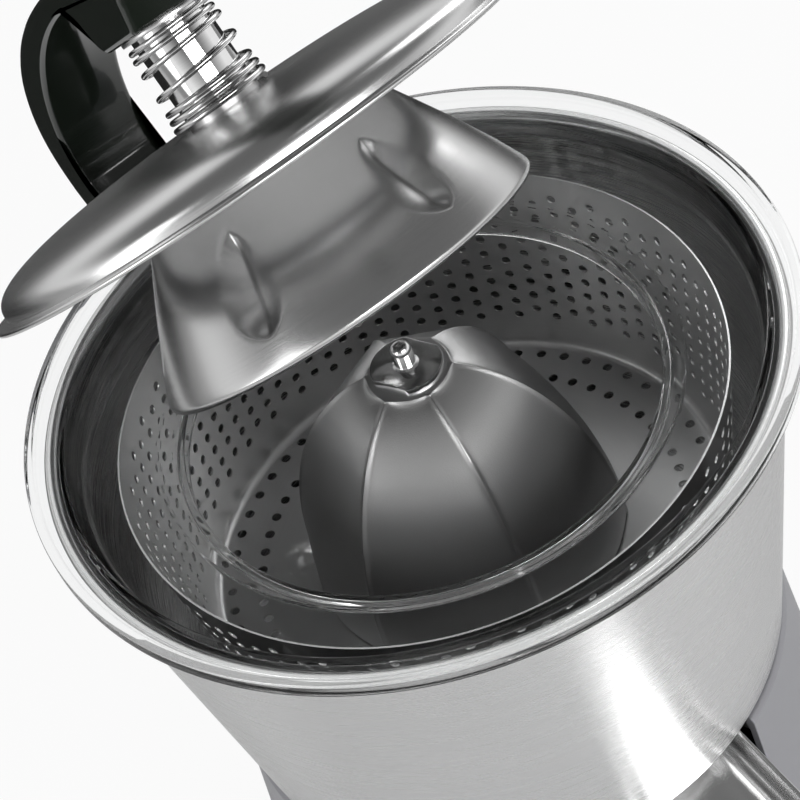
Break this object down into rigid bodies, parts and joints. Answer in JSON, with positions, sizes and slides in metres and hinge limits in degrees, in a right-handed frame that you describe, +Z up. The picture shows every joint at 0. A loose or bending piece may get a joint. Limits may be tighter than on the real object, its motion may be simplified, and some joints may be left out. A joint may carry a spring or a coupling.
{
  "type": "electric citrus press",
  "caption": "Lever-type electric citrus press: tapered steel bowl with spout on a grey motor housing, clear splash ring, strainer, ribbed reamer and a sprung press lid on a black arm.",
  "frame": {"origin": "middle of the standing outline, on the worktop plane under the rubber feet", "axes": "+Z up, -Y to the front where the spout is, +X to the right seen from the front"},
  "size_m": [0.1927, 0.2788, 0.4758],
  "materials": {
    "housing_grey": "satin",
    "base_dark": "matt",
    "rubber": "matt",
    "zinc_screw": "satin",
    "switch_black": "satin",
    "plate_steel": "satin",
    "magnet_dark": "matt",
    "rotor_steel": "satin",
    "gear_steel": "satin",
    "gear_resin": "satin",
    "bronze": "satin",
    "seal_rubber": "matt",
    "bowl_steel": "brushed",
    "spout_steel": "polished",
    "strainer_steel": "satin",
    "clear_ring": "clear gloss",
    "reamer_steel": "bead blasted satin",
    "cap_steel": "polished",
    "arm_black": "gloss",
    "spring_steel": "polished",
    "post_chrome": "mirror",
    "lid_steel": "satin polished",
    "cup_steel": "satin"
  },
  "bodies": {
    "base": {"housing_shell": "housing_grey", "base_plate": "base_dark", "rubber_feet": "rubber", "base_screws": "zinc_screw", "cord_gland": "switch_black", "switch_frame": "switch_black", "bridge_plate": "plate_steel", "bridge_pillars": "plate_steel", "pillar_screws": "zinc_screw", "motor_can": "plate_steel", "motor_magnets": "magnet_dark", "lower_bush": "bronze", "upper_bush": "bronze", "shaft_seal": "seal_rubber", "bowl": "bowl_steel", "spout": "spout_steel", "strainer": "strainer_steel", "splash_ring": "clear_ring", "hinge_pin": "gear_steel", "hinge_caps": "switch_black", "friction_washers": "seal_rubber"},
    "rocker": {"switch_rocker": "switch_black"},
    "motor": {"motor_rotor": "rotor_steel", "pinion": "gear_steel"},
    "spindle": {"drive_gear": "gear_resin", "drive_shaft": "gear_steel", "reamer": "reamer_steel", "reamer_cap": "cap_steel"},
    "lever": {"lever_arm": "arm_black", "hinge_bushes": "bronze", "spring_washer": "spring_steel", "press_spring": "spring_steel"},
    "press_head": {"guide_post": "post_chrome", "post_screw": "cap_steel", "lid_dome": "lid_steel", "press_cup": "cup_steel", "press_nut": "zinc_screw"}
  },
  "joints": [
    {"name": "lever_hinge", "type": "hinge", "parent": "base", "child": "lever", "pos_m": [0, 0.09258, 0.26131], "axis": [1, 0, 0], "range_deg": [0, 35]},
    {"name": "press_slide", "type": "slide", "parent": "lever", "child": "press_head", "axis": [0, 0.5736, 0.8192], "range_m": [0, 0.008], "stiffness_N_per_m": 1500, "springref_m": -0.006, "deforming": ["press_spring"]},
    {"name": "spindle_spin", "type": "hinge", "parent": "base", "child": "spindle", "pos_m": [0, -0.01142, 0.2], "axis": [0, 0, 1], "continuous": true},
    {"name": "motor_spin", "type": "hinge", "parent": "base", "child": "motor", "pos_m": [0, 0.02457, 0.1], "axis": [0, 0, 1], "continuous": true},
    {"name": "rocker_tilt", "type": "hinge", "parent": "base", "child": "rocker", "pos_m": [0.09151, -0.01142, 0.046], "axis": [0, 1, 0], "range_deg": [-18, 0]}
  ],
  "couplings": [
    {"joint": "motor_spin", "follows": "spindle_spin", "ratio": -4}
  ]
}
